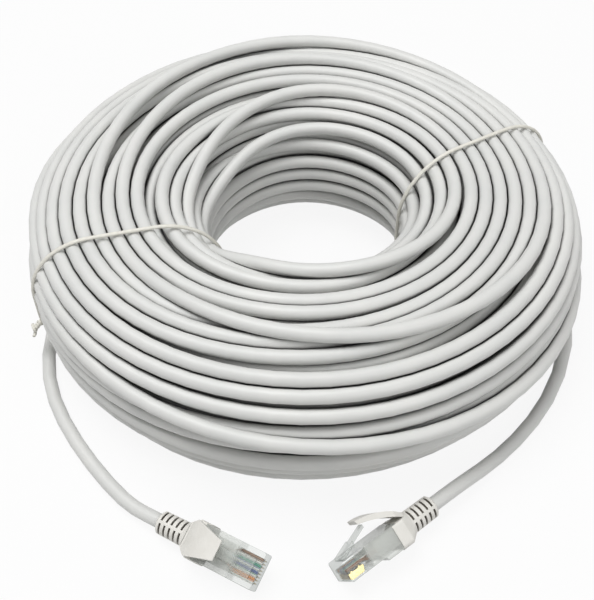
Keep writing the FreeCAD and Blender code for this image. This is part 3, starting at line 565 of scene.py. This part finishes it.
def packCoil():
    # control points of the whole coil: places in the bundle's section, carried round the ring
    slices = coil["slices"]
    homes, rises = outerHomes()
    slots = innerSlots()
    outerTurns = len(layers["outer"]) - 1
    total = outerTurns + len(slots) - 2 + (coil["endAngle"] - coil["startAngle"]) / 360
    count = int(round(total * slices)) + 1
    turns = np.arange(count) / slices
    late = turns[len(homes):] - outerTurns
    floor = np.floor(late).astype(int)
    part = (late - floor)[:, None]
    part = part * part * (3 - 2 * part)
    home = np.vstack((homes, slots[floor] * (1 - part) + slots[floor + 1] * part))
    rise = np.concatenate((rises, np.zeros(len(late))))

    # a hand-wound coil's slow and quick wanderings from those homes
    for axis in (0, 1):
        for kind in ("drift", "wander"):
            for pitch in packing[f"{kind}Pitches"]:
                phase = random.uniform(0, 2 * math.pi)
                home[:, axis] += packing[kind] * np.sin(2 * math.pi * pitch * turns + phase)
    angles = coil["startAngle"] + 360 * turns
    squeeze = squeezeAt(angles)
    slow, quick = packing["bulgePitches"]
    waves = np.sin(2 * math.pi * slow * turns + packing["bulgePhase"]) + np.sin(2 * math.pi * quick * turns)
    loose = 1 - squeeze / ties["squeeze"]
    inset = squeeze - rise - packing["bulge"] * np.clip(waves, 0, packing["bulgeMost"]) * loose
    home = keepInside(home, inset)

    # a grid of slices by turns, in which a place is pushed by the other turns of its own slice
    rows = int(math.ceil(count / slices))
    padded = rows * slices
    valid = (np.arange(padded) < count).reshape(rows, slices).T
    both = valid[:, :, None] & valid[:, None, :] & ~np.eye(rows, dtype=bool)[None]
    chain = home.copy()
    for step in range(packing["rounds"]):
        pull = packing["pull"] * (1 - step / packing["rounds"]) ** 2
        full = np.zeros((padded, 2))
        full[:count] = chain
        grid = full.reshape(rows, slices, 2).transpose(1, 0, 2)
        away = grid[:, :, None, :] - grid[:, None, :, :]
        apart = np.maximum(np.sqrt((away ** 2).sum(-1)), 1e-4)
        over = np.where(both, np.clip(packing["gap"] - apart, 0, None), 0)
        push = (away * (over / apart * packing["push"])[..., None]).sum(2)
        chain = chain + push.transpose(1, 0, 2).reshape(padded, 2)[:count]
        early = step < packing["rounds"] - packing["lastRounds"]
        smooth = packing["smooth"] if early else packing["lastSmooth"]
        chain[1:-1] += smooth * ((chain[:-2] + chain[2:]) / 2 - chain[1:-1])
        chain += pull * (home - chain)
        chain[0] = coil["start"]
        chain[-1] = coil["end"]
        chain = keepInside(chain, inset)
    deepest = np.where(both, 2 * coil["radius"] - apart, 0).max()
    print(f"coil packed: {count} places, deepest overlap {deepest:.2f} mm")

    # a spline through such controls shrinks a circle by this share, which is put back
    shrink = (2 + math.cos(2 * math.pi / slices)) / 3
    turn = np.radians(angles)
    reach = (coil["ring"] + chain[:, 0] + widenAt(turn)) / shrink
    height = np.maximum(coil["middle"] + chain[:, 1], coil["radius"])
    return np.stack((reach * np.cos(turn), coil["back"] + reach * np.sin(turn), height), -1)


tails = {
    "left": (
        (-89.0, 15.4, 4.2), (-94.6, -9.0, 2.6), (-92.0, -31.0, 2.5), (-83.8, -48.4, 2.5), (-71.3, -66.0, 2.7),
    ),
    "right": ((96.8, -7.5, 11.2), (89.2, -32.5, 5.8), (77.7, -49.3, 2.6), (63.0, -64.0, 2.6)),
    "inPlug": (-14, -6, 2, 10, 18, plugSize["jacketEnd"]),
}


def tailPoints(side):
    # from the coil to the end of the jacket inside the plug
    inside = [(along, 0, 0) for along in tails["inPlug"]]
    return np.vstack((tails[side], fromPlug(side, inside)))


coilPoints = packCoil()
controls = np.vstack((tailPoints("right")[::-1], coilPoints, tailPoints("left")))
cordPath = splinePoints(controls, coil["steps"])
cord = tubeMesh("cord", cordPath, coil["radius"], coil["sides"], jacketMaterial)
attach(cord, "cable")
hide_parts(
    "coil_turns", "coil_core", "cable_tail_left", "cable_tail_right", "jacket_end_left", "jacket_end_right",
)
print("cord made")


# Twist ties

pigtail = {
    "stations": 25, "step": 0.34, "turnStep": 0.62, "radius": 0.62, "splayAfter": 18, "splay": 0.22,
    "hangAfter": 6, "hang": 0.55, "forward": 0.45, "clear": 0.4,
}


def pigtailPoints(anchor, outward, aside, phase):
    # helix that runs outward, hangs down after a few steps and splays at its end:
    # anchor + outward * way + drop + radius * (cos a * aside + sin a * up)
    points = []
    for index in range(1, pigtail["stations"] + 1):
        turn = phase + index * pigtail["turnStep"]
        reach = index * pigtail["step"]
        twist = pigtail["radius"] + max(index - pigtail["splayAfter"], 0) * pigtail["splay"]
        drop = -pigtail["hang"] * max(index - pigtail["hangAfter"], 0) * pigtail["step"]
        way = reach * pigtail["forward"] + pigtail["clear"]
        points.append(anchor + outward * way + np.array((0, 0, drop))
                      + aside * (twist * math.cos(turn)) + np.array((0, 0, 1)) * (twist * math.sin(turn)))
    return np.array(points)


def tiePath(name):
    # loop round the bundle in an upright plane, then both ends twisted together at the outer wall
    inner, outer = (math.radians(ties[name][key]) for key in ("inner", "outer"))
    off = coil["radius"] + ties["thickness"] + ties["gap"] - ties["squeeze"]
    nearReach = coil["ring"] - coil["halfWidth"] + float(widenAt(inner))
    farReach = coil["ring"] + coil["halfWidth"] + float(widenAt(outer)) - ties[name]["draw"]
    first = np.array((nearReach * math.cos(inner), coil["back"] + nearReach * math.sin(inner)))
    last = np.array((farReach * math.cos(outer), coil["back"] + farReach * math.sin(outer)))
    way = (last - first) / np.linalg.norm(last - first)
    side = np.array((-way[1], way[0]))
    stretch = np.linalg.norm(last - first) / (2 * coil["halfWidth"])
    length = outlineLength(-off)
    points = []
    count = ties["stations"]
    for index in range(count + 1):
        distance = length * (index / count * ties["share"])
        across, up = outlinePoint(distance - ties["shift"], -off)
        lean = ties["lean"] / 2 - ties["lean"] * index / count
        spot = (first + last) / 2 + way * across * stretch + side * lean
        points.append((*spot, max(coil["middle"] + up, ties["thickness"])))
    points = np.array(points)
    outward = np.array((*way, 0))
    aside = np.array((*side, 0))
    anchor = (points[0] + points[-1]) / 2
    start = pigtailPoints(anchor, outward, aside, 0.0)[::-1]
    end = pigtailPoints(anchor, outward, aside, math.pi)
    return np.vstack((start, points, end))


for name in ("left", "right"):
    path = splinePoints(tiePath(name), ties["steps"])
    tie = tubeMesh(
        f"tie{name.title()}", path, ties["thickness"], ties["sides"], tieMaterial, ties["flatten"], ties["firstUp"],
    )
    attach(tie, "cable")
    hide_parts(f"tie_{name}")
print("ties made")


# Conductors inside each plug

wires = {
    "radius": 0.475, "sides": 12, "steps": 4, "pitch": 1.02, "row": 0.51, "end": 36.61, "flatPoints": (2, 4),
    "flatStart": 30.41, "splitStart": 28.21, "splitLean": 0.03, "columnPitch": 1.1424, "tail": 1.2, "sunk": 0.5,
}
wireColours = (
    ("white_orange", (0.85, 0.33, 0.06), True), ("orange", (0.85, 0.30, 0.05), False),
    ("white_green", (0.05, 0.45, 0.25), True), ("blue", (0.03, 0.10, 0.38), False),
    ("white_blue", (0.05, 0.16, 0.50), True), ("green", (0.03, 0.38, 0.26), False),
    ("white_brown", (0.33, 0.16, 0.07), True), ("brown", (0.26, 0.12, 0.05), False),
)
wireMaterials = {name: wireMaterial(name, colour, striped) for name, colour, striped in wireColours}


def wirePath(index):
    # flat under its blade, then back to its place in two rows of four at the jacket's end
    aside = wires["pitch"] * (index - 3.5)
    column = wires["columnPitch"] * (index // 2 - 1.5)
    level = wires["row"] * (-1 if index % 2 else 1)
    high = wires["row"]
    flat, split, lean = wires["flatStart"], wires["splitStart"], wires["splitLean"]
    jacket = plugSize["jacketEnd"]
    return (
        (wires["end"], aside, high),
        *((wires["end"] - back, aside, high) for back in wires["flatPoints"]),
        (flat, aside, high), ((flat + split) / 2, aside, (high + level) / 2),
        (split, aside * (1 - lean) + column * lean, level),
        ((split + jacket + wires["tail"]) / 2, (aside + column) / 2, level),
        (jacket + wires["tail"], column, level), (jacket - wires["sunk"], column, level),
    )


rightPieces = []
for side in ("left", "right"):
    for index, (name, colour, striped) in enumerate(wireColours):
        path = fromPlug(side, splinePoints(wirePath(index), wires["steps"]))
        wire = tubeMesh(f"wire_{name}_{side}_round", path, wires["radius"], wires["sides"], wireMaterials[name])
        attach(wire, "cable")
        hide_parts(f"wire_{name}_{side}")
        if side == "right":
            rightPieces.append(wire)
print("wires made")


# Solids that keep their CAD shape: new finish, and edges broken by a small bevel

bevels = {"housing": 0.14, "latch": 0.14, "contacts": 0.04, "boot": 0.14, "tongue": 0.3, "angle": 35}


def dressNode(node, material, bevel, segments=2):
    piece = frame["nodes"][node]
    piece.data.materials.clear()
    piece.data.materials.append(material)
    modifier = piece.modifiers.new("edge", "BEVEL")
    modifier.width = bevel * metre
    modifier.segments = segments
    modifier.limit_method = "ANGLE"
    modifier.angle_limit = math.radians(bevels["angle"])


for side in ("left", "right"):
    for piece in ("housing", "latch"):
        dressNode(f"{piece}_{side}", clearMaterial(piece, side), bevels[piece])
    dressNode(f"contacts_{side}", goldContact, bevels["contacts"])
    boot = bootMaterial(side)
    dressNode(f"boot_{side}", boot, bevels["boot"])
    dressNode(f"boot_tongue_{side}", boot, bevels["tongue"], 3)
print("CAD solids dressed")

rightPieces += [f"{piece}_right" for piece in ("housing", "latch", "contacts", "boot", "boot_tongue")]


# Floor and light

floorLook = {"colour": (0.74, 0.74, 0.74), "white": 0.90, "roughness": 0.6, "specular": 0.1, "size": 4.0}
lamps = {
    "softTop": {"place": (-0.27, 0.05, 1.15), "target": (0, 0, 0), "size": 0.7, "power": 10.4},
    "softFront": {"place": (0.50, -0.65, 0.75), "target": (0, 0, 0.02), "size": 0.6, "power": 2.7},
}
worldLook = {"lighting": 0.32, "seen": 1.0}


def seenNode(nodes, links):
    # one for a ray of the camera, of a reflection or through clear plastic, and nothing for other rays
    path = nodes.new("ShaderNodeLightPath")
    camera, glossy, through = (path.outputs[f"Is {ray} Ray"] for ray in ("Camera", "Glossy", "Transmission"))
    return mathNode(nodes, links, "MAXIMUM", mathNode(nodes, links, "MAXIMUM", camera, glossy), through)


def stageMaterial():
    # pale floor that the camera and reflections see nearly white, with the object's shadow left on it
    material, nodes, links = newMaterial("paleFloor")
    shader = nodes["Principled BSDF"]
    shader.inputs["Base Color"].default_value = (*floorLook["colour"], 1)
    shader.inputs["Roughness"].default_value = floorLook["roughness"]
    shader.inputs["Specular IOR Level"].default_value = floorLook["specular"]
    white = nodes.new("ShaderNodeEmission")
    share = mathNode(nodes, links, "MULTIPLY", seenNode(nodes, links), floorLook["white"])
    mix = nodes.new("ShaderNodeMixShader")
    links.new(share, mix.inputs["Fac"])
    links.new(shader.outputs["BSDF"], mix.inputs[1])
    links.new(white.outputs["Emission"], mix.inputs[2])
    links.new(mix.outputs["Shader"], nodes["Material Output"].inputs["Surface"])
    return material


floorMesh = bpy.data.meshes.new("floor")
floorSize = floorLook["size"]
floorCorners = [(x * floorSize, y * floorSize, 0) for x, y in ((-1, -1), (1, -1), (1, 1), (-1, 1))]
floorMesh.from_pydata(floorCorners, [], [(0, 1, 2, 3)])
floorMesh.materials.append(stageMaterial())
floor = bpy.data.objects.new("floor", floorMesh)
bpy.context.scene.collection.objects.link(floor)


def areaLight(name, look):
    data = bpy.data.lights.new(name, "AREA")
    data.shape = "SQUARE"
    data.size = look["size"]
    data.energy = look["power"]
    light = bpy.data.objects.new(name, data)
    light.location = look["place"]
    direction = Vector(look["target"]) - Vector(look["place"])
    light.rotation_euler = direction.to_track_quat("-Z", "Y").to_euler()
    bpy.context.scene.collection.objects.link(light)


for name, look in lamps.items():
    areaLight(name, look)

world = bpy.data.worlds.new("paleWorld")
bpy.context.scene.world = world
world.use_nodes = True
worldNodes, worldLinks = world.node_tree.nodes, world.node_tree.links
background = worldNodes["Background"]
background.inputs["Color"].default_value = (1, 1, 1, 1)
worldSeen = seenNode(worldNodes, worldLinks)
worldStrength = rangeNode(worldNodes, worldLinks, worldSeen, worldLook["lighting"], worldLook["seen"], 0, 1)
worldLinks.new(worldStrength, background.inputs["Strength"])

bpy.context.scene.view_settings.view_transform = "Standard"
print("floor and light made")
